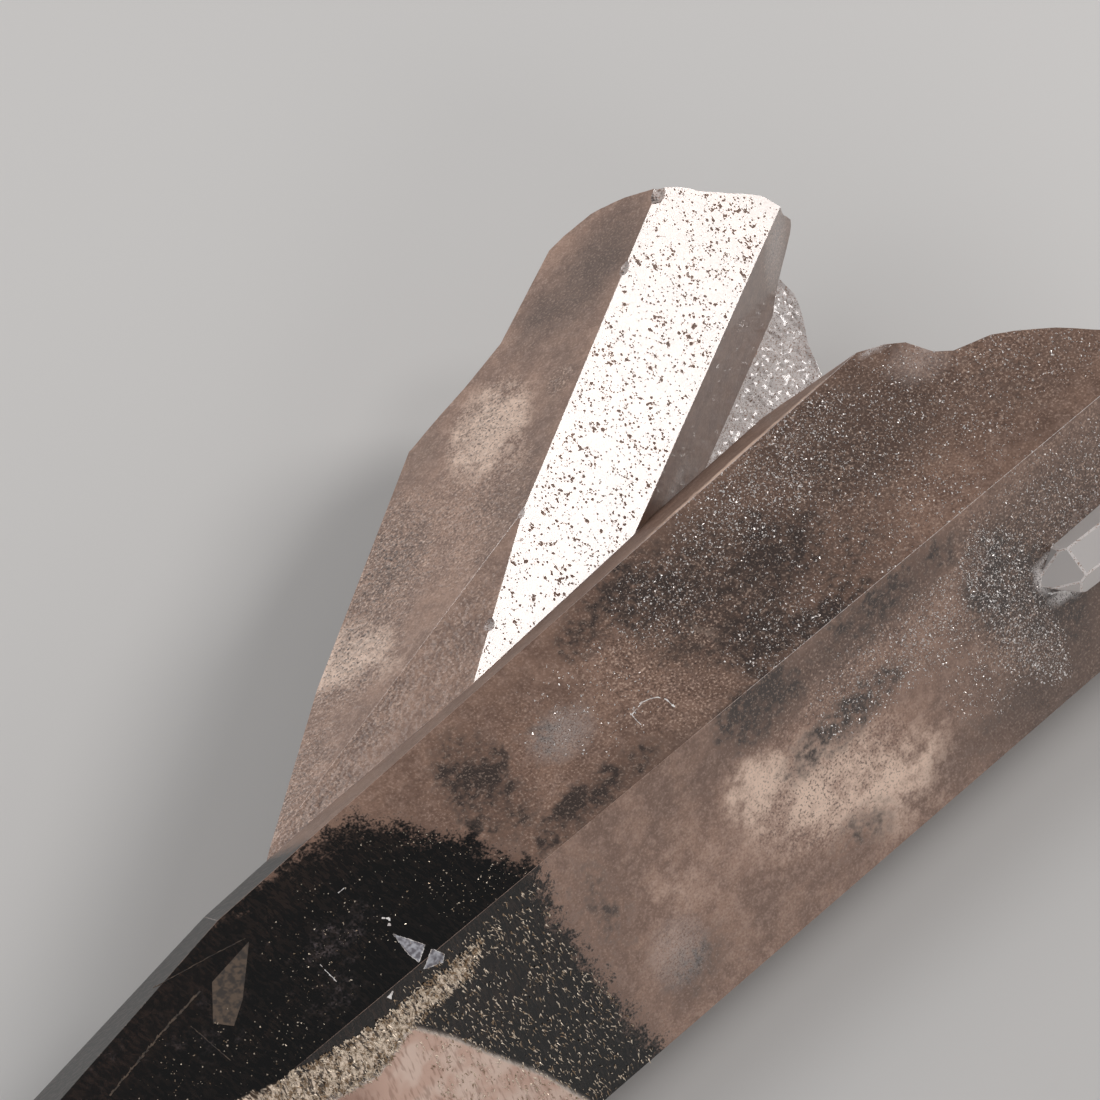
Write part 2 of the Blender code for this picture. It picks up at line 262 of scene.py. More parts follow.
# Painted light and shade by face: above 0 lighter where more light falls, below 0 darker where shade falls,
# as over the whole far face and the tip's strip.
PAINTED_LIGHT_AND_SHADE = {
    "outer": (
        (-0.28, 5.0, 5.0, 70.0, 40.0), (-1.0, 30.0, 1.9, 10.0, 4.6, -14.0), (-0.3, 21.5, 1.0, 4.0, 2.0),
        (-0.35, 12.0, 0.2, 14.0, 2.6, 4.0), (-0.45, 26.0, 5.4, 4.4, 2.4), (-0.4, 15.4, 9.6, 3.6, 2.0),
        (0.25, 8.0, 4.6, 9.0, 4.0), (0.7, 17.0, 4.6, 4.6, 3.0), (0.6, -0.6, 8.6, 3.6, 3.6),
    ),
    "outer_low": ((-0.32, 5.0, 5.0, 70.0, 40.0), (0.2, -2.0, 9.0, 8.0, 6.0)),
    "top": (
        (-0.48, 10.0, 0.0, 90.0, 60.0), (-0.75, 5.5, 0.6, 9.0, 8.0), (-0.7, 20.0, 2.6, 15.0, 7.0),
        (-0.3, -4.0, -5.0, 8.0, 2.6), (-0.3, 9.0, -6.0, 9.0, 2.4), (-0.25, 14.0, 5.6, 14.0, 2.4),
        (0.25, -11.0, 1.2, 6.0, 3.4, -10.0), (0.45, 26.6, 3.6, 3.0, 2.4), (-0.3, 31.0, -3.0, 12.0, 6.0),
        (0.6, -27.0, 0.4, 6.0, 4.0), (0.5, -30.6, -2.4, 4.0, 2.0), (0.5, -36.0, 1.4, 5.0, 2.4),
    ),
    "near": (
        (-0.22, 10.0, 10.0, 90.0, 60.0), (0.85, 3.0, 9.4, 11.0, 6.4, -18.0), (0.3, -7.6, 9.6, 8.0, 6.0),
        (-0.55, 9.0, 16.4, 20.0, 3.6), (-1.1, 22.6, 10.0, 9.0, 10.0, 10.0),
        (-0.6, 20.0, 4.0, 14.0, 4.0), (-0.95, 32.0, 12.0, 16.0, 12.0), (-1.0, 27.0, 1.0, 16.0, 3.4),
        (-0.25, -9.6, 5.0, 4.0, 3.0, 20.0), (-0.5, -20.5, 10.6, 3.6, 3.4, -50.0),
        (0.45, -29.0, 10.0, 8.0, 7.0), (-1.2, -34.6, 13.4, 4.6, 3.6),
    ),
    "far": ((-0.8, 0.0, -14.0, 90.0, 30.0),),
    "inner": ((-0.6, 30.0, 12.0, 40.0, 30.0), (0.6, 17.0, 13.3, 5.0, 2.0)),
    "tip_strip": ((-1.0, 0.0, -14.0, 200.0, 60.0),),
}

# Flakes in the skin: their tilt, also of those that lie as the crest does, and their shape as shares of
# their length. Plates stand proud of the skin and reach into it by so many millimetres.
FLAKE_TILT = 0.35
CREST_FLAKE_TILT = 0.1
FLAKE_TAIL = 0.55
FLAKE_WIDTH = 0.6
FLAKE_THICKNESS = 0.35
PLATE_PROUD = 0.012
PLATE_DEEP = 0.03
STREAK_STEP = 0.22

# Where the golden sparks and the silver dust lie, as rows of markings.
SPARKS = (
    (2.4, -18.9, -2.8, 3.6, 2.8), (1.4, -19.4, 2.6, 4.2, 3.0), (0.7, -26.5, 0.6, 6.6, 4.4),
    (1.0, -34.0, -1.6, 6.0, 2.6), (0.8, -39.0, 0.6, 5.0, 2.6),
)
DUST = {
    "top": (
        (0.28, 19.0, 1.4, 15.0, 8.5), (0.25, 31.5, 0.6, 7.5, 4.4, -40.0), (0.75, 12.0, 3.8, 7.0, 3.4),
        (0.75, 17.0, 5.0, 5.0, 2.6), (0.5, 3.0, 2.8, 4.6, 3.0), (0.45, 6.6, -4.2, 5.0, 3.4),
        (0.15, -6.0, 1.0, 5.0, 4.0),
    ),
    "near": (
        (2.4, 20.4, 13.4, 2.6, 3.4, 20.0), (2.0, 20.6, 9.6, 2.2, 6.6, 14.0),
        (0.8, 14.6, 13.0, 5.4, 3.0), (0.45, 25.5, 14.6, 8.0, 4.0), (0.5, 9.6, 13.4, 5.6, 3.0),
        (0.4, 17.6, 7.6, 4.4, 3.0),
    ),
}
# The dust's and the sparks' places: which part of a face is tried and how often, and how large flakes are.
DUST_FIELDS = (("top", (-16.0, -8.0), (42.0, 8.0)), ("near", (-16.0, 1.0), (44.0, 19.0)))
DUST_TRIES = 60000
DUST_SPREAD = (-2.95, 0.45)
DUST_LARGEST = 0.13
DUST_LIFT = 0.006
DUST_FACING = 0.55
SPARK_TRIES = 5200
SPARK_SPREAD = (-3.2, 0.5)
SPARK_LARGEST = 0.10
BAND_TRIES = 9000

# Bright cracks and needles: the face, a line of U and V, and its width.
CRACKS = (
    ("top", ((-25.8, 2.48), (-24.84, 2.45)), 0.07),
    ("top", ((-29.5, -0.2), (-29.64, -1.7)), 0.07),
    ("top", ((-3.92, -1.36), (-3.46, -1.33), (-3.02, -1.49), (-2.59, -1.74)), 0.12),
    ("top", ((-2.59, -1.74), (-2.38, -2.27), (-2.41, -2.95)), 0.12),
    ("top", ((-4.72, -2.36), (-4.58, -1.49), (-4.1, -1.4)), 0.09),
    ("top", ((-24.9, -1.3), (-24.5, -0.9), (-24.75, -0.6)), 0.22),
    ("near", ((-28.2, 18.05), (-27.8, 18.3)), 0.35),
    ("near", ((22.87, 10.24), (23.96, 11.22), (26.0, 11.55), (28.83, 11.5)), 0.22),
    ("near", ((23.2, 9.4), (24.29, 8.69), (26.42, 8.44)), 0.18),
    ("near", ((25.0, 8.1), (27.3, 8.2), (29.6, 8.0)), 0.12),
)

# Dull tan cracks in the dark part, the same way.
TAN_CRACKS = (
    ("top", ((-31.2, 4.2), (-33.4, 4.8), (-37.2, 5.7)), 0.06),
    ("top", ((-35.5, 3.6), (-39.0, 3.2), (-43.9, 2.4)), 0.16),
    ("top", ((-37.5, 2.3), (-37.55, -1.0)), 0.06),
)

# Glassy splinters in the dark part: the face and their outline.
SPLINTERS = (
    ("top", ((-25.12, -1.81), (-24.37, -3.68), (-25.43, -4.23), (-25.48, -3.39))),
    ("near", ((-25.40, 18.09), (-24.39, 18.82), (-23.85, 17.99), (-24.13, 17.60))),
)
DIM_SPLINTERS = (
    ("top", ((-31.2, 3.9), (-34.6, 3.5), (-36.5, 1.5), (-35.8, 0.5), (-34.2, 1.4))),
)

# How frosted each face is.
FROST = {
    "outer": 0.8,
    "outer_low": 0.75,
    "stub_crest": 0.25,
    "inner": 0.3,
    "far": 0.85,
    "tip_strip": 0.95,
}

# Colours, in linear light.
SMOKE = (0.50, 0.30, 0.215)
SMOKE_DEEP = (0.33, 0.19, 0.135)
SMOKE_PALE = (0.72, 0.48, 0.38)
SMOKE_DARK = (0.045, 0.028, 0.022)
WARM_PALE = (0.94, 0.69, 0.55)
SILVER_PALE = (0.88, 0.82, 0.80)
PIT_BROWN = (0.34, 0.24, 0.20)
CLEAR_DARK = (0.010, 0.007, 0.006)
VEIL_GREY = (0.105, 0.082, 0.085)
DARK_BROWN = (0.13, 0.085, 0.065)
BAND_BROWN = (0.06, 0.035, 0.018)
BAND_CREAM = (0.92, 0.74, 0.58)
GLOW_PINK = (0.72, 0.47, 0.37)
GLOW_PALE = (0.86, 0.64, 0.53)
GLOW_BROWN = (0.30, 0.155, 0.105)
RIM_PALE = (0.90, 0.76, 0.66)
# The small crystal's white is a painted reflection on clear crystal.
PAINTED_REFLECTION_WHITE = (0.93, 0.88, 0.86)

# How the noise is drawn out across and along the crystals, axis by axis.
ACROSS_STREAKS = (2.4, 0.8, 0.45)
ALONG_LINES = (0.06, 2.4, 2.4)

# The shares of light let through: by bare and full milk, by clear and veiled dark crystal, and by the small
# crystal. Then the roughness of the skin without and with frost, of the pits, and the skin's coat.
THROUGH_MILK = (0.32, 0.08)
THROUGH_VEILS = (0.92, 0.3)
THROUGH_GLASS = 0.4
ROUGHNESS_FROST = (0.26, 0.6)
ROUGHNESS_PIT = 0.85
SKIN_COAT = 0.7


def face_axes(name):
    """A named face's outward normal, the two directions that U and V run in, and its distance."""
    swing, angle, lean, distance = FACES[name]
    turn = math.radians(angle)
    dip = math.radians(lean)
    swung = Matrix.Rotation(math.radians(swing), 3, "Z")
    tilted = (-math.sin(dip), math.cos(dip) * math.cos(turn), math.cos(dip) * math.sin(turn))
    normal = swung @ Vector(tilted)
    along = swung @ Vector((1.0, 0.0, 0.0))
    across = normal.cross(along).normalized()
    return normal, along, across, distance


AXES = {name: face_axes(name) for name in FACES}


def face_name(normal, point):
    """Which named face a polygon lies on, or an empty name."""
    for name, (wanted, _, _, distance) in AXES.items():
        if normal.dot(wanted) > SAME_NORMAL and abs(wanted.dot(point) - distance) < SAME_PLANE:
            return name
    return ""


def face_place(name, points):
    """The U and V of points, which are rows in millimetres from the cluster's start."""
    _, along, across, _ = AXES[name]
    return points @ np.array(along), points @ np.array(across)


def face_point(name, u, v, lift=0.0):
    """The point at U and V on a named face, lifted off it by some millimetres."""
    normal, along, across, distance = AXES[name]
    frame_rows = np.array([along, across, normal])
    return Vector(np.linalg.solve(frame_rows, np.array([u, v, distance + lift])))


# The body's shape.


def packed_shape():
    """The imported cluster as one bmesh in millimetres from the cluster's start, its flat faces whole."""
    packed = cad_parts["quartz_cluster"]
    shape = bmesh.new()
    shape.from_mesh(packed.data)
    shape.transform(packed.matrix_world)
    bmesh.ops.translate(shape, vec=-CLUSTER_START, verts=shape.verts)
    bmesh.ops.scale(shape, vec=(1 / MM, 1 / MM, 1 / MM), verts=shape.verts)
    bmesh.ops.remove_doubles(shape, verts=shape.verts, dist=WELD)
    bmesh.ops.dissolve_limit(
        shape, angle_limit=math.radians(SAME_SLOPE), verts=shape.verts, edges=shape.edges
    )
    return shape


def label_faces(shape):
    """Gives each polygon a number: a named face, a plain flat face, or a break."""
    layer = shape.faces.layers.int.new("kind")
    low, high = BUD_BOX
    for face in shape.faces:
        middle = face.calc_center_median()
        name = face_name(face.normal, middle)
        if name:
            face[layer] = NAMES.index(name)
        elif all(a < c < b for a, c, b in zip(low, middle, high)) and face.normal.x < 0.5:
            face[layer] = BUD
        elif face.calc_area() > BROKEN_PIECE:
            face[layer] = PLAIN
        else:
            face[layer] = BREAK
    return layer


def wear_edges(shape, kinds):
    """Turns the long edges where two named faces meet into narrow strips, as light wear does."""
    worn = []
    small = []
    for edge in shape.edges:
        if len(edge.link_faces) != 2:
            continue
        first, second = (face[kinds] for face in edge.link_faces)
        if first != second and max(first, second) < PLAIN:
            worn.append(edge)
        elif first == second == BUD and edge.calc_face_angle() > SMALL_EDGE_ANGLE:
            small.append(edge)
    for edges, width in ((worn, WORN_EDGE), (small, SMALL_CRYSTAL_EDGE)):
        made = bmesh.ops.bevel(
            shape, geom=edges, offset=width, offset_type="OFFSET", segments=1, profile=0.5,
            affect="EDGES", clamp_overlap=True,
        )
        for face in made["faces"]:
            face[kinds] = EDGE
    bmesh.ops.remove_doubles(shape, verts=shape.verts, dist=WORN_WELD)


def divide_breaks(shape, kinds):
    """Divides the broken surfaces finer and lays small shell-like ripples on them."""
    broken = [face for face in shape.faces if face[kinds] == BREAK]
    bmesh.ops.triangulate(shape, faces=broken)
    broken = [face for face in shape.faces if face[kinds] == BREAK]
    shape.edges.index_update()
    edges = sorted({edge for face in broken for edge in face.edges}, key=lambda edge: edge.index)
    bmesh.ops.subdivide_edges(shape, edges=edges, cuts=1, use_grid_fill=True)
    shape.normal_update()
    for vert in shape.verts:
        if all(face[kinds] == BREAK for face in vert.link_faces):
            place = vert.co
            fine = noise.noise(place * RIPPLE_PITCH * FINE_RIPPLE)
            ripple = noise.noise(place * RIPPLE_PITCH) + 0.5 * fine
            vert.co = place - vert.normal * RIPPLE_DEPTH * (1.0 + ripple)


def divide_borders(shape, kinds):
    """Puts points along the long borders of the named faces."""
    wanted = {}
    for edge in shape.edges:
        labels = {face[kinds] for face in edge.link_faces}
        if len(labels) > 1 and min(labels) < PLAIN:
            cuts = int(edge.calc_length() / LONGEST_EDGE)
            if cuts:
                wanted.setdefault(cuts, []).append(edge)
    for cuts, edges in wanted.items():
        bmesh.ops.bisect_edges(shape, edges=edges, cuts=cuts)


def border_distance(points, starts, ends):
    """How far each point is from the nearest border line, and whether it lies inside the border."""
    step = ends - starts
    square = (step**2).sum(axis=1)
    nearest = np.full(len(points), np.inf)
    crossings = np.zeros(len(points), int)
    for start, run, length, end in zip(starts, step, square, ends):
        share = np.clip(((points - start) @ run) / length, 0.0, 1.0)
        away = np.hypot(*(points - start - share[:, None] * run).T)
        nearest = np.minimum(nearest, away)
        rises = (start[1] > points[:, 1]) != (end[1] > points[:, 1])
        if run[1]:
            meets = start[0] + run[0] * (points[:, 1] - start[1]) / run[1]
            crossings += rises & (points[:, 0] < meets)
    return nearest, crossings % 2 == 1


def hex_points(low, high, pitch, chance):
    """A loosened honeycomb of points over a rectangle."""
    rows = []
    row_step = pitch * math.sqrt(0.75)
    for row in range(int((high[1] - low[1]) / row_step) + 1):
        for column in range(int((high[0] - low[0]) / pitch) + 1):
            u = low[0] + (column + 0.5 * (row % 2)) * pitch + chance.uniform(-0.2, 0.2) * pitch
            v = low[1] + row * row_step + chance.uniform(-0.2, 0.2) * pitch
            rows.append((u, v))
    return np.array(rows)


def pit_places(low, high, chance):
    """Etch pits on the crest: some alone, most in clusters. Each is its U, V and radius."""
    pits = []
    while len(pits) < PIT_COUNT:
        middle = (chance.uniform(low[0], high[0]), chance.uniform(low[1], high[1]))
        crowd = 1 if chance.random() < PIT_ALONE else chance.randint(*PIT_CROWD)
        for _ in range(crowd):
            reach = 0.0 if crowd == 1 else abs(chance.gauss(0.0, PIT_CROWD_REACH))
            turn = chance.uniform(0.0, math.tau)
            radius = min(PIT_SIZES[1], max(PIT_SIZES[0], chance.lognormvariate(*PIT_SPREAD)))
            place = (middle[0] + reach * math.cos(turn), middle[1] + reach * math.sin(turn))
            pits.append((*place, radius))
    return np.array(pits)


def pit_depth(points, pits):
    """How deep the pits are at each point."""
    depth = np.zeros(len(points))
    for u, v, radius in pits:
        away = np.hypot(points[:, 0] - u, points[:, 1] - v) / radius
        depth = np.maximum(depth, PIT_STEEPNESS * radius * np.clip(1.0 - away, 0.0, 1.0))
    return depth


def face_relief(name, points, margin, chance):
    """How far each inner point of a named face is sunk, in millimetres."""
    fade = np.clip(margin / RELIEF_FADE, 0.0, 1.0)
    if name in ("outer", "outer_low"):
        rough = 0.25 + ellipses(points[:, 0], points[:, 1], GRAIN[name])
        tiny = np.array([chance.random() for _ in points])
        return FROST_DEPTH * rough * tiny * fade
    if name == "stub_crest":
        away = np.hypot(points[:, 0] - STUB_RINGS[0], points[:, 1] - STUB_RINGS[1])
        swell = np.array([noise.noise(Vector((u * 0.9, v * 0.9, 0.0))) for u, v in points])
        rings = 0.5 + 0.5 * np.cos((away + 0.8 * swell) * math.tau / STUB_RING_PITCH)
        fine = np.array([noise.noise(Vector((u * 3.1, v * 1.7, 4.0))) for u, v in points])
        lumps = 0.5 + 0.5 * np.clip(swell + fine, -1.0, 1.0)
        near_end = np.clip((points[:, 0] - STUB_ROUGH_END[0]) / STUB_ROUGH_END[1], 0.0, 1.0)
        return (STUB_RING_DEPTH * rings * near_end + STUB_LUMP_DEPTH * lumps) * fade
    return np.zeros(len(points))


def remesh_face(shape, kinds, name):
    """Fills a named face anew with evenly spaced points, so that it can carry relief and markings."""
    normal, along, across, distance = AXES[name]
    chance = random.Random(name)
    label = NAMES.index(name)
    old = [face for face in shape.faces if face[kinds] == label]
    inside = set(old)
    shape.edges.index_update()
    border = {e for face in old for e in face.edges if not all(other in inside for other in e.link_faces)}
    border = sorted(border, key=lambda edge: edge.index)
    corners = sorted({vert for edge in border for vert in edge.verts}, key=lambda vert: tuple(vert.co))
    place_of = {vert: number for number, vert in enumerate(corners)}
    flat = np.array([(vert.co.dot(along), vert.co.dot(across)) for vert in corners])
    lines = np.array([[place_of[vert] for vert in edge.verts] for edge in border])
    starts = flat[lines[:, 0]]
    ends = flat[lines[:, 1]]
    low = flat.min(axis=0)
    high = flat.max(axis=0)
    points = hex_points(low, high, SPACING[name], chance)
    margin, within = border_distance(points, starts, ends)
    keep = within & (margin > 0.4 * SPACING[name])
    points, margin = points[keep], margin[keep]
    sunk = face_relief(name, points, margin, chance)
    if name == "crest":
        pits = pit_places(low, high, chance)
        rim, held = border_distance(pits[:, :2], starts, ends)
        pits = pits[held & (rim > 1.3 * pits[:, 2] + 0.02)]
        turns = np.arange(PIT_SIDES) * math.tau / PIT_SIDES
        ring = np.stack([np.cos(turns), np.sin(turns)], axis=1)
        rings = (pits[:, None, :2] + pits[:, None, 2:] * ring[None]).reshape(-1, 2)
        clear_of_pits = pit_depth(points, np.c_[pits[:, :2], pits[:, 2] * 1.4]) == 0.0
        points = np.concatenate([points[clear_of_pits], rings, pits[:, :2]])
        sunk = pit_depth(points, pits)
    every = [Vector(row) for row in np.concatenate([flat, points])]
    made_at, _, made_faces, sources, _, _ = delaunay_2d_cdt(
        every, [tuple(int(n) for n in line) for line in lines], [], 2, 1e-6
    )
    middles = np.array([np.mean([made_at[number] for number in loop], axis=0) for loop in made_faces])
    _, held = border_distance(middles, starts, ends)
    bmesh.ops.delete(shape, geom=old, context="FACES")
    deepness = shape.verts.layers.float["sunk"]
    deepest = max(1e-6, float(sunk.max()) if len(sunk) else 0.0)
    verts = []
    for at, source in zip(made_at, sources):
        known = [number for number in source if number < len(corners)]
        if known:
            verts.append(corners[known[0]])
            continue
        depth = sunk[source[0] - len(corners)] if source else 0.0
        vert = shape.verts.new(face_point(name, at.x, at.y) - normal * depth)
        vert[deepness] = min(1.0, depth / PIT_TYPICAL) if name == "crest" else depth / deepest
        verts.append(vert)
    for loop, kept in zip(made_faces, held):
        chosen = [verts[number] for number in loop]
        if not kept or len(set(chosen)) < 3 or shape.faces.get(chosen):
            continue
        face = shape.faces.new(chosen)
        face[kinds] = label


def finish_shape(shape, kinds):
    """Leaves only triangles, smooth within the breaks and sharp everywhere else."""
    bmesh.ops.triangulate(shape, faces=[face for face in shape.faces if len(face.verts) > 3])
    shape.normal_update()
    for face in shape.faces:
        face.smooth = face[kinds] == BREAK
    for edge in shape.edges:
        edge.smooth = all(face[kinds] == BREAK for face in edge.link_faces)


def shape_mesh(name, shape):
    """A bmesh in millimetres from the cluster's start as a mesh in metres, in the shared frame."""
    bmesh.ops.scale(shape, vec=(MM, MM, MM), verts=shape.verts)
    bmesh.ops.translate(shape, vec=CLUSTER_START, verts=shape.verts)
    mesh = bpy.data.meshes.new(name)
    shape.to_mesh(mesh)
    shape.free()
    return mesh


def add_piece(name, mesh, material):
    """Adds a piece of the cluster to the scene."""
    mesh.materials.append(material)
    obj = bpy.data.objects.new(name, mesh)
    bpy.context.scene.collection.objects.link(obj)
    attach(obj, "root")
    return obj


# Where the markings lie.


def ellipse(u, v, middle_u, middle_v, length, width, turn=0.0):
    """1 in the middle of an ellipse, falling evenly to 0 at its rim."""
    angle = math.radians(turn)
    du = u - middle_u
    dv = v - middle_v
    a = (du * math.cos(angle) + dv * math.sin(angle)) / length
    b = (dv * math.cos(angle) - du * math.sin(angle)) / width
    return np.clip(1.0 - np.hypot(a, b), 0.0, 1.0)


def ellipses(u, v, rows):
    """The strongest of some ellipses at each point."""
    total = np.zeros(len(u))
    for strength, *place in rows:
        total = np.maximum(total, strength * np.sqrt(ellipse(u, v, *place)))
    return total


def painted_shading_sum(u, v, rows):
    """Soft painted light above 0 and painted shade below it, added up."""
    total = np.zeros(len(u))
    for strength, *place in rows:
        share = ellipse(u, v, *place)
        total += strength * share * share * (3.0 - 2.0 * share)
    return np.clip(total, -1.0, 1.0)


def no_masks(count):
    """The markings of a bare place: none, and far outside every zone."""
    masks = {key: np.zeros(count) for key in MASKS}
    for key in ("dark", "glow", "band"):
        masks[key] -= ZONE_REACH
    return masks


def inside_by(u, v, corners):
    """How far inside a polygon each point lies, in millimetres, and below 0 outside it."""
    starts = np.array(corners, float)
    ends = np.roll(starts, -1, axis=0)
    away, within = border_distance(np.stack([u, v], axis=1), starts, ends)
    return np.clip(np.where(within, away, -away), -ZONE_REACH, ZONE_REACH)


def face_masks(name, u, v):
    """The strength of each marking at points of a named face."""
    masks = no_masks(len(u))
    for key, zones in (("dark", DARK_ZONES), ("glow", GLOW_ZONES), ("band", BANDS)):
        if name in zones:
            masks[key] = inside_by(u, v, zones[name])
    for key, rows in (("cloud", CLOUDS), ("warm", WARM), ("pale", PALE), ("grain", GRAIN)):
        masks[key] = ellipses(u, v, rows.get(name, ()))
    masks["warm"] = masks["warm"] ** 1.7
    # Painted light and shade.
    masks["tone"] = painted_shading_sum(u, v, PAINTED_LIGHT_AND_SHADE.get(name, ()))
    masks["rim"] = np.clip((u - RIM_END) / RIM_FADE, 0.0, 1.0)
    masks["frost"] += FROST.get(name, 0.0)
    return masks


def plain_masks(points):
    """The markings on the faces without a name: the tip is darker and clearer than the root."""
    masks = no_masks(len(points))
    u, v = points[:, 0], points[:, 1]
    masks["dark"] = np.clip((PLAIN_DARK_END - u) / 8.0, -ZONE_REACH, ZONE_REACH) * (v < 12.0) - 0.6
    masks["frost"] += PLAIN_FROST
    return masks


def lay_masks(mesh):
    """Writes the markings' strengths on the corners of the mesh."""
    kinds = np.empty(len(mesh.polygons), np.int32)
    mesh.attributes["kind"].data.foreach_get("value", kinds)
    corner_vert = np.empty(len(mesh.loops), np.int32)
    mesh.loops.foreach_get("vertex_index", corner_vert)
    totals = np.empty(len(mesh.polygons), np.int32)
    mesh.polygons.foreach_get("loop_total", totals)
    corner_kind = np.repeat(kinds, totals)
    places = np.empty(len(mesh.vertices) * 3, np.float32)
    mesh.vertices.foreach_get("co", places)
    places = (places.reshape(-1, 3) - np.array(CLUSTER_START)) / MM
    points = places[corner_vert]
    values = {key: np.zeros(len(points), np.float32) for key in MASKS}
    for label, name in enumerate(NAMES):
        chosen = corner_kind == label
        if not chosen.any():
            continue
        here = points[chosen]
        if name in FACES:
            found = face_masks(name, *face_place(name, here))
        else:
            found = plain_masks(here)
            if name == "break":
                found["frost"] += BREAK_FROST
                beside = np.ones(len(here), bool)
                for near_face in ("crest", "outer"):
                    normal, _, _, distance = AXES[near_face]
                    beside &= np.abs(here @ np.array(normal) - distance) < CHIP_REACH
                # Chips beside the bright crest get a painted highlight.
                found["pale"] = beside * CHIP_HIGHLIGHT
            elif name == "edge":
                found["dark"] -= 1.0
                # Worn edges: partly pale wear, partly painted highlight, paler towards the root.
                found["pale"] = np.clip((here[:, 0] + 6.0) / 12.0, *EDGE_WEAR_AND_HIGHLIGHT)
                in_box = ((here > BUD_BOX[0]) & (here < BUD_BOX[1])).all(axis=1)
                # The small crystal's edges get painted highlights.
                found["pale"][in_box] = SMALL_EDGE_HIGHLIGHT
            elif name == "bud":
                # The small crystal's clear crystal is painted white as its reflections.
                found["glass"] += 1.0
        for key in MASKS:
            values[key][chosen] = found[key]
    for key in MASKS:
        layer = mesh.attributes.new(key, "FLOAT", "CORNER")
        layer.data.foreach_set("value", values[key])


# Materials.


class Graph:
    """A material's nodes, built one call at a time."""

    def __init__(self, name):
        self.material = bpy.data.materials.new(name)
        self.material.use_nodes = True
        self.tree = self.material.node_tree
        self.shader = self.tree.nodes["Principled BSDF"]
        self.output = self.tree.nodes["Material Output"]
        where = self.tree.nodes.new("ShaderNodeTexCoord")
        self.place = self.vector("SCALE", where.outputs["Object"], scale=1.0 / MM)

    def feed(self, socket, value):
        if isinstance(value, bpy.types.NodeSocket):
            self.tree.links.new(value, socket)
        elif isinstance(value, (tuple, list)) and len(value) == 3 and socket.type == "RGBA":
            socket.default_value = (*value, 1.0)
        else:
            socket.default_value = value

    def vector(self, operation, first, second=None, scale=None):
        node = self.tree.nodes.new("ShaderNodeVectorMath")
        node.operation = operation
        self.feed(node.inputs[0], first)
        if second is not None:
            self.feed(node.inputs[1], second)
        if scale is not None:
            node.inputs["Scale"].default_value = scale
        return node.outputs[0]

    def math(self, operation, first, second=0.0, clamp=False):
        node = self.tree.nodes.new("ShaderNodeMath")
        node.operation = operation
        node.use_clamp = clamp
        self.feed(node.inputs[0], first)
        self.feed(node.inputs[1], second)
        return node.outputs[0]

    def mask(self, name):
        node = self.tree.nodes.new("ShaderNodeAttribute")
        node.attribute_name = name
        return node.outputs["Fac"]

    def times(self, first, second, clamp=False):
        return self.math("MULTIPLY", first, second, clamp)

    def total(self, first, *others):
        for other in others:
            first = self.math("ADD", first, other)
        return first

    def most(self, first, *others):
        for other in others:
            first = self.math("MAXIMUM", first, other)
        return first

    def noise(self, pitch, detail=3.0, roughness=0.55, place=None):
        node = self.tree.nodes.new("ShaderNodeTexNoise")
        self.feed(node.inputs["Vector"], place or self.place)
        node.inputs["Scale"].default_value = pitch
        node.inputs["Detail"].default_value = detail
        node.inputs["Roughness"].default_value = roughness
        return node.outputs["Fac"]

    def centred(self, value, strength):
        """A noise turned to run both ways from 0."""
        return self.times(self.math("SUBTRACT", value, 0.5), strength)

    def steps(self, value, low, high):
        node = self.tree.nodes.new("ShaderNodeMapRange")
        node.interpolation_type = "SMOOTHSTEP"
        self.feed(node.inputs["Value"], value)
        node.inputs["From Min"].default_value = low
        node.inputs["From Max"].default_value = high
        return node.outputs["Result"]

    def blend(self, share, first, second):
        node = self.tree.nodes.new("ShaderNodeMix")
        node.data_type = "RGBA"
        self.feed(node.inputs["Factor"], share)
        self.feed(node.inputs[6], first)
        self.feed(node.inputs[7], second)
        return node.outputs[2]

    def between(self, share, first, second):
        node = self.tree.nodes.new("ShaderNodeMix")
        node.data_type = "FLOAT"
        self.feed(node.inputs["Factor"], share)
        self.feed(node.inputs[2], first)
        self.feed(node.inputs[3], second)
        return node.outputs[0]

    def set(self, name, value):
        self.feed(self.shader.inputs[name], value)


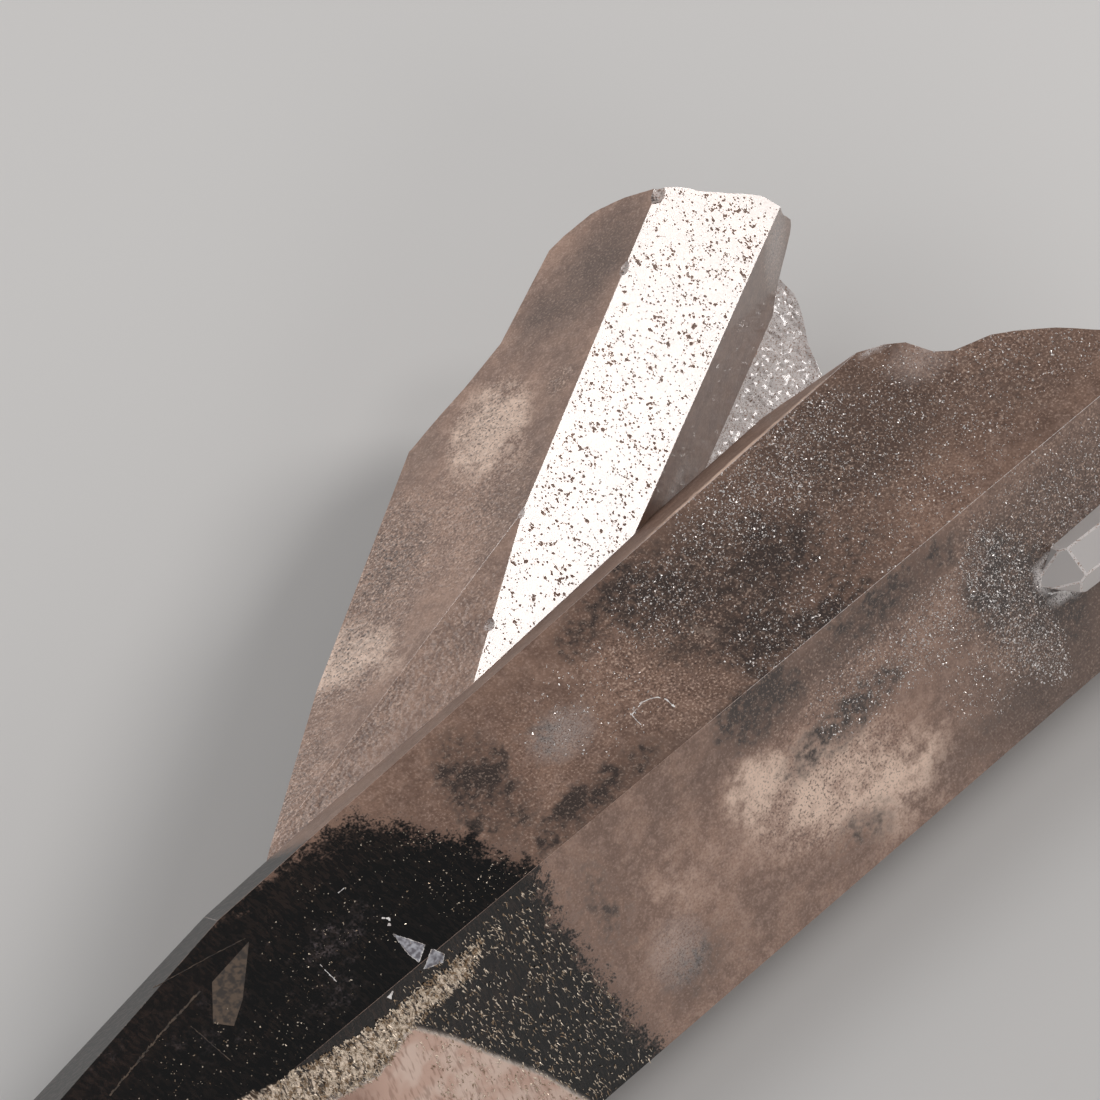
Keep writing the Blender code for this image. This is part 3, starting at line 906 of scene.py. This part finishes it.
def quartz_material():
    """Smoky quartz: milky where it is frosted or full of veils, dark and clear between them, with painted
    light and shade.
    """
    g = Graph("smoky quartz")
    wisps = g.noise(0.45, 2.0, 0.7)
    mottle = g.noise(1.6, 2.0, 0.7)
    grain = g.noise(6.5, 1.0, 0.6)
    fine = g.noise(11.0, 0.0, 0.5)
    streaks = g.noise(1.8, 1.0, 0.7, place=g.vector("MULTIPLY", g.place, ACROSS_STREAKS))
    lines = g.noise(2.4, 0.0, 0.6, place=g.vector("MULTIPLY", g.place, ALONG_LINES))
    frost = g.mask("frost")
    glass = g.mask("glass")
    grains = g.mask("grain")
    sunk = g.mask("sunk")

    # Where each marking shows, its edge broken up by the noises.
    dark = g.total(g.mask("dark"), g.centred(wisps, 3.2), g.centred(mottle, 3.0), g.centred(grain, 3.0))
    dark = g.steps(dark, -0.7, 0.8)
    veils = g.total(g.centred(mottle, 2.6), g.centred(wisps, 2.6))
    # Painted light and shade also thicken and thin the veils.
    veils = g.math("ADD", veils, g.times(g.mask("tone"), 1.6), clamp=True)
    veils = g.times(veils, g.steps(grain, 0.34, 0.66), clamp=True)
    cloud = g.total(g.times(g.mask("cloud"), 1.25), g.centred(mottle, 2.6), g.centred(wisps, 2.4))
    cloud = g.steps(g.total(cloud, g.centred(grain, 0.9)), 0.05, 1.2)
    cloud = g.times(cloud, g.steps(g.mask("cloud"), 0.0, 0.5))
    warm = g.total(g.mask("warm"), g.centred(grain, 0.45), g.centred(mottle, 1.2), g.centred(wisps, 2.4))
    warm = g.times(g.steps(warm, 0.0, 1.2), g.steps(g.mask("warm"), 0.0, 0.7))
    pale = g.times(g.mask("pale"), g.steps(fine, 0.22, 0.55), clamp=True)
    unrimmed = g.math("SUBTRACT", 1.0, g.mask("rim"))
    ragged = g.total(g.times(g.centred(mottle, 5.0), unrimmed), g.times(g.centred(wisps, 5.0), unrimmed))
    glow = g.steps(g.total(g.mask("glow"), ragged, g.centred(streaks, 0.25)), -0.1, 0.25)
    rim = g.times(g.steps(g.mask("glow"), -0.20, 0.0), g.mask("rim"))
    rim = g.times(rim, g.steps(g.mask("glow"), 0.30, 0.05))
    band = g.steps(g.total(g.mask("band"), g.centred(mottle, 1.8)), -0.1, 0.3)
    # Painted light above 0 and painted shade below it.
    painted_light = g.times(g.mask("tone"), 0.8, clamp=True)
    darker = g.times(g.mask("tone"), -0.8, clamp=True)
    pitted = g.times(sunk, g.math("SUBTRACT", 1.0, g.steps(frost, 0.0, 0.1)))

    # The milky part, with its grain, its dark and warm patches, and its painted light and shade.
    colour = g.blend(g.steps(wisps, 0.35, 0.65), SMOKE_DEEP, SMOKE)
    colour = g.blend(g.times(g.steps(mottle, 0.42, 0.75), 0.45), colour, SMOKE_PALE)
    colour = g.blend(painted_light, colour, SMOKE_PALE)
    colour = g.blend(g.times(darker, 0.85), colour, SMOKE_DARK)
    colour = g.blend(warm, colour, WARM_PALE)
    colour = g.blend(g.times(grains, g.steps(grain, 0.46, 0.28)), colour, SMOKE_DARK)
    colour = g.blend(g.times(grains, g.steps(grain, 0.54, 0.74)), colour, WARM_PALE)
    colour = g.blend(g.times(g.times(sunk, grains), 0.7), colour, SMOKE_DARK)
    colour = g.blend(cloud, colour, SMOKE_DARK)
    colour = g.blend(g.times(g.steps(grain, 0.50, 0.30), 0.22), colour, SMOKE_DARK)
    colour = g.blend(g.times(g.steps(grain, 0.52, 0.74), 0.22), colour, WARM_PALE)
    colour = g.blend(pale, colour, SILVER_PALE)

    # The clear dark part, the cream band, the glassy zone, the small crystal painted white as its
    # reflections, and the pits.
    clear_tone = g.blend(g.times(g.steps(streaks, 0.48, 0.62), 0.5), CLEAR_DARK, DARK_BROWN)
    colour = g.blend(dark, colour, g.blend(veils, clear_tone, VEIL_GREY))
    colour = g.blend(band, colour, g.blend(g.steps(streaks, 0.44, 0.56), BAND_BROWN, BAND_CREAM))
    pink = g.blend(g.steps(wisps, 0.42, 0.62), GLOW_PINK, GLOW_PALE)
    pink = g.blend(g.times(g.steps(streaks, 0.50, 0.70), 0.5), pink, GLOW_BROWN)
    # Painted shade darkens the glassy zone too.
    colour = g.blend(glow, colour, g.blend(darker, pink, GLOW_BROWN))
    colour = g.blend(rim, colour, RIM_PALE)
    colour = g.blend(glass, colour, PAINTED_REFLECTION_WHITE)
    g.set("Base Color", g.blend(g.steps(pitted, 0.1, 0.5), colour, PIT_BROWN))

    # Milk lets less light through and scatters the rest.
    # Painted light makes the skin milkier too.
    milk = g.most(g.times(warm, 0.8), pale, g.times(painted_light, 0.9), g.times(frost, 0.6))
    milk = g.most(milk, g.times(grains, 0.6), pitted, band, g.times(glow, 0.75), cloud)
    clear = g.times(dark, g.math("SUBTRACT", 1.0, g.most(band, glow)))
    through = g.between(clear, g.between(milk, *THROUGH_MILK), g.between(veils, *THROUGH_VEILS))
    g.set("Transmission Weight", g.between(glass, through, THROUGH_GLASS))
    clear = g.most(clear, glass)
    rough = g.between(pitted, g.between(frost, *ROUGHNESS_FROST), ROUGHNESS_PIT)
    g.set("Roughness", g.between(clear, rough, g.total(g.times(frost, 0.4), 0.1)))
    g.set("Coat Weight", g.between(g.most(frost, pitted, clear), SKIN_COAT, 0.0))
    g.set("Coat Roughness", 0.03)
    g.set("IOR", 1.544)

    bump = g.tree.nodes.new("ShaderNodeBump")
    bump.inputs["Strength"].default_value = 0.6
    bump.inputs["Distance"].default_value = 0.03 * MM
    g.feed(bump.inputs["Height"], g.total(g.times(grain, g.total(frost, 0.06)), g.times(lines, 0.12)))
    g.set("Normal", bump.outputs["Normal"])

    smoke = g.tree.nodes.new("ShaderNodeVolumeAbsorption")
    smoke.inputs["Color"].default_value = (0.55, 0.38, 0.28, 1.0)
    smoke.inputs["Density"].default_value = 34.0
    g.tree.links.new(smoke.outputs["Volume"], g.output.inputs["Volume"])
    return g.material


def speck_material(name, bright, dull, roughness, metallic=0.0):
    """Tiny flakes whose tone changes from one to the next."""
    g = Graph(name)
    g.set("Base Color", g.blend(g.steps(g.noise(3.0, 1.0), 0.35, 0.65), dull, bright))
    g.set("Roughness", roughness)
    g.set("Metallic", metallic)
    return g.material


# Flakes and plates in the skin.


def flakes(name, rows, material):
    """Joins small closed flakes into one piece. A row is a middle, two directions and three sizes."""
    verts = []
    faces = []
    for middle, normal, along, length, width, thickness in rows:
        across = normal.cross(along).normalized()
        first = len(verts)
        verts += [
            middle + along * length,
            middle - along * length * FLAKE_TAIL + across * width,
            middle - along * length * FLAKE_TAIL - across * width,
            middle + normal * thickness,
            middle - normal * thickness,
        ]
        for a, b in ((0, 1), (1, 2), (2, 0)):
            faces.append((first + a, first + b, first + 3))
            faces.append((first + b, first + a, first + 4))
    placed = [CLUSTER_START + vert * MM for vert in verts]
    for vert in placed:
        vert.z = min(vert.z, cad_high[2])
    mesh = bpy.data.meshes.new(name)
    mesh.from_pydata(placed, [], faces)
    mesh.update()
    add_piece(name, mesh, material)


def flake_row(name, u, v, size, chance, lift, stretch=1.0, turn=None, facing=0.0):
    """One flake in the skin of a named face, turned and tilted by chance. Some lie as the crest does."""
    normal, along, across, _ = AXES[name]
    tilt = FLAKE_TILT
    if chance.random() < facing:
        normal = AXES["crest"][0]
        tilt = CREST_FLAKE_TILT
    angle = chance.uniform(0.0, math.tau) if turn is None else math.radians(chance.gauss(turn, 14.0))
    lean = Vector([chance.gauss(0.0, tilt) for _ in range(3)])
    up = (normal + lean).normalized()
    run = along * math.cos(angle) + across * math.sin(angle)
    run = (run - up * run.dot(up)).normalized()
    middle = face_point(name, u, v, lift)
    return middle, up, run, size * stretch, size * FLAKE_WIDTH, size * FLAKE_THICKNESS


def random_places(count, chance, low, high):
    """The U and V of random places in a rectangle."""
    u = np.array([chance.uniform(low[0], high[0]) for _ in range(count)])
    v = np.array([chance.uniform(low[1], high[1]) for _ in range(count)])
    return u, v


def scatter(count, chance, low, high, rows):
    """Random places on a face, kept by chance where the markings are strong."""
    u, v = random_places(count, chance, low, high)
    keep = ellipses(u, v, rows) > np.array([chance.random() for _ in range(count)])
    return zip(u[keep], v[keep])


def scatter_in(count, chance, low, high, corners, margin):
    """Random places on a face, inside a polygon by some margin."""
    u, v = random_places(count, chance, low, high)
    keep = inside_by(u, v, corners) > margin
    return zip(u[keep], v[keep])


def on_face(skin, name, u, v):
    """Whether a place on a named face lies on the crystal's skin, and not beyond the face's end."""
    normal = AXES[name][0]
    above = 0.5
    _, met, _, away = skin.ray_cast(face_point(name, u, v, above), -normal, above + 0.1)
    return met is not None and abs(away - above) < SAME_PLANE and met.dot(normal) > SAME_NORMAL


# The studio.


def aim(obj, direction, distance):
    """Sets a camera or a light in a direction from the cluster, turned towards it."""
    obj.location = VIEW_TARGET + direction * distance
    obj.rotation_euler = direction.to_track_quat("Z", "Y").to_euler()
    bpy.context.scene.collection.objects.link(obj)


def camera():
    """Looks down on the cluster from beside its tip."""
    azimuth = math.radians(VIEW_AZIMUTH)
    elevation = math.radians(VIEW_ELEVATION)
    level = math.cos(elevation)
    away = Vector((math.sin(azimuth) * level, -math.cos(azimuth) * level, math.sin(elevation)))
    data = bpy.data.cameras.new("view")
    data.lens = LENS
    data.sensor_width = SENSOR
    data.clip_start = 0.01
    obj = bpy.data.objects.new("view", data)
    aim(obj, away, VIEW_DISTANCE)
    bpy.context.scene.camera = obj


def soft_box(name, direction, distance, half_angle, radiance, colour):
    """A round soft box that faces the cluster, by its size and brightness as seen from there."""
    radius = distance * math.tan(math.radians(half_angle))
    data = bpy.data.lights.new(name, "AREA")
    data.shape = "DISK"
    data.size = 2.0 * radius
    data.energy = radiance * math.pi * math.pi * radius**2
    data.color = colour
    obj = bpy.data.objects.new(name, data)
    obj.visible_camera = False
    aim(obj, Vector(direction).normalized(), distance)


def studio():
    """The pale floor and its soft light."""
    world = bpy.data.worlds.new("studio")
    bpy.context.scene.world = world
    world.use_nodes = True
    background = world.node_tree.nodes["Background"]
    background.inputs["Color"].default_value = (0.97, 0.98, 1.0, 1.0)
    background.inputs["Strength"].default_value = WORLD_LIGHT
    for row in SOFT_BOXES:
        soft_box(*row)
    g = Graph("pale floor")
    g.set("Base Color", g.blend(g.noise(0.02, 2.0), (0.70, 0.69, 0.68), (0.72, 0.71, 0.70)))
    g.set("Roughness", 0.8)
    bpy.ops.mesh.primitive_plane_add(size=4.0, location=(0.0, 0.0, -0.0002))
    obj = bpy.context.object
    obj.name = "studio_floor"
    obj.data.materials.append(g.material)


# Putting it together.


def body():
    """The crystals, worn, broken, pitted and marked."""
    shape = packed_shape()
    kinds = label_faces(shape)
    shape.verts.layers.float.new("sunk")
    wear_edges(shape, kinds)
    divide_breaks(shape, kinds)
    divide_borders(shape, kinds)
    for name in FACES:
        remesh_face(shape, kinds, name)
    finish_shape(shape, kinds)
    mesh = shape_mesh("quartz_body", shape)
    lay_masks(mesh)
    obj = add_piece("quartz_body", mesh, quartz_material())
    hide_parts("quartz_cluster")


def silver_dust(skin):
    """Silvery dust in the skin of the main crystal's two upper faces."""
    chance = random.Random(7)
    rows = []
    for name, low, high in DUST_FIELDS:
        for u, v in scatter(DUST_TRIES, chance, low, high, DUST[name]):
            if on_face(skin, name, u, v):
                size = min(DUST_LARGEST, chance.lognormvariate(*DUST_SPREAD))
                rows.append(flake_row(name, u, v, size, chance, DUST_LIFT, facing=DUST_FACING))
    bright = speck_material("silver dust", (0.97, 0.93, 0.91), (0.58, 0.51, 0.48), 0.3, 0.6)
    flakes("silver_dust", rows, bright)


def golden_sparks(skin):
    """Golden sparks in the dark, clear part and bright slivers in the rough parts beside it."""
    chance = random.Random(19)
    rows = []
    for u, v in scatter(SPARK_TRIES, chance, (-52.0, -6.0), (-16.0, 8.0), SPARKS):
        inside = inside_by(np.array([u]), np.array([v]), DARK_ZONES["top"])[0]
        if on_face(skin, "top", u, v) and inside > 0.1:
            size = min(SPARK_LARGEST, chance.lognormvariate(*SPARK_SPREAD))
            if chance.random() < 0.6:
                rows.append(flake_row("top", u, v, size, chance, lift=0.003))
    for u, v in scatter_in(BAND_TRIES, chance, (-48.0, 13.0), (-20.0, 19.5), BANDS["near"], -0.3):
        if on_face(skin, "near", u, v):
            size = chance.uniform(0.05, 0.14)
            rows.append(flake_row("near", u, v, size, chance, lift=0.01, stretch=2.2, turn=-72.0))
    dark_near = DARK_ZONES["near"]
    for u, v in scatter_in(SPARK_TRIES, chance, (-28.0, 1.0), (-13.0, 18.0), dark_near, 0.25):
        if on_face(skin, "near", u, v) and chance.random() < 0.5:
            size = chance.uniform(0.03, 0.10)
            rows.append(flake_row("near", u, v, size, chance, lift=0.004, stretch=3.0, turn=-78.0))
    gold = speck_material("golden sparks", (0.95, 0.80, 0.64), (0.30, 0.20, 0.12), 0.3, 0.35)
    flakes("golden_sparks", rows, gold)


def plates(name, rows, material):
    """Joins thin closed plates into one piece. A row is a face's name and the corners of its outline."""
    shape = bmesh.new()
    for face, corners in rows:
        upper = [shape.verts.new(face_point(face, u, v, PLATE_PROUD)) for u, v in corners]
        lower = [shape.verts.new(face_point(face, u, v, -PLATE_DEEP)) for u, v in corners]
        shape.faces.new(upper)
        shape.faces.new(lower[::-1])
        for first in range(len(corners)):
            second = (first + 1) % len(corners)
            shape.faces.new((upper[second], upper[first], lower[first], lower[second]))
    bmesh.ops.recalc_face_normals(shape, faces=shape.faces)
    bmesh.ops.triangulate(shape, faces=shape.faces)
    add_piece(name, shape_mesh(name, shape), material)


def streak(face, line, width, chance, gaps=0.15):
    """Short uneven plates along a line of U and V, with gaps between some of them."""
    rows = []
    for (u0, v0), (u1, v1) in zip(line, line[1:]):
        length = math.hypot(u1 - u0, v1 - v0)
        count = max(1, round(length / STREAK_STEP))
        du = (u1 - u0) / count
        dv = (v1 - v0) / count
        side = Vector((-dv, du)).normalized()
        for step in range(count):
            if chance.random() < gaps:
                continue
            thick = 0.5 * width * chance.uniform(0.35, 1.3)
            thin = 0.5 * width * chance.uniform(0.15, 0.8)
            u = u0 + du * step + side.x * chance.uniform(-0.25, 0.25) * width
            v = v0 + dv * step + side.y * chance.uniform(-0.25, 0.25) * width
            corners = (
                (u + side.x * thick, v + side.y * thick),
                (u - side.x * thick, v - side.y * thick),
                (u + du - side.x * thin, v + dv - side.y * thin),
                (u + du + side.x * thin, v + dv + side.y * thin),
            )
            rows.append((face, corners))
    return rows


def bright_cracks():
    """Bright cracks, needles and the rims of glassy splinters in the skin."""
    chance = random.Random(31)
    rows = []
    for face, line, width in CRACKS:
        rows += streak(face, line, width, chance)
    for face, corners in SPLINTERS:
        rows += streak(face, corners + corners[:1], 0.07, chance, gaps=0.05)
    tan_rows = list(DIM_SPLINTERS)
    for face, line, width in TAN_CRACKS:
        tan_rows += streak(face, line, width, chance, gaps=0.0)
    tan = speck_material("tan cracks", (0.12, 0.085, 0.062), (0.05, 0.040, 0.035), 0.4)
    plates("tan_cracks", tan_rows, tan)
    white = speck_material("bright cracks", (0.95, 0.92, 0.90), (0.62, 0.56, 0.54), 0.35)
    plates("bright_cracks", rows, white)
    glass = speck_material("splinters", (0.46, 0.46, 0.50), (0.16, 0.15, 0.17), 0.2)
    plates("splinters", SPLINTERS, glass)


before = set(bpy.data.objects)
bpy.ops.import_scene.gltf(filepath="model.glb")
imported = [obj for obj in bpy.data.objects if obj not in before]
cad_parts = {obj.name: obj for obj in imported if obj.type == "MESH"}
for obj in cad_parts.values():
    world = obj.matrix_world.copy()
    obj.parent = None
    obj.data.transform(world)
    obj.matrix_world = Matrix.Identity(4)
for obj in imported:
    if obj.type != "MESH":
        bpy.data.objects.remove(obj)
cad_low, cad_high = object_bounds()
camera()
studio()
body()
skin = BVHTree.FromBMesh(packed_shape())
silver_dust(skin)
golden_sparks(skin)
bright_cracks()
bpy.context.scene.view_settings.view_transform = "Standard"
light_paths = bpy.context.scene.cycles
light_paths.max_bounces = 3
light_paths.transmission_bounces = 3
light_paths.diffuse_bounces = 1
light_paths.glossy_bounces = 2
light_paths.caustics_reflective = False
light_paths.caustics_refractive = False
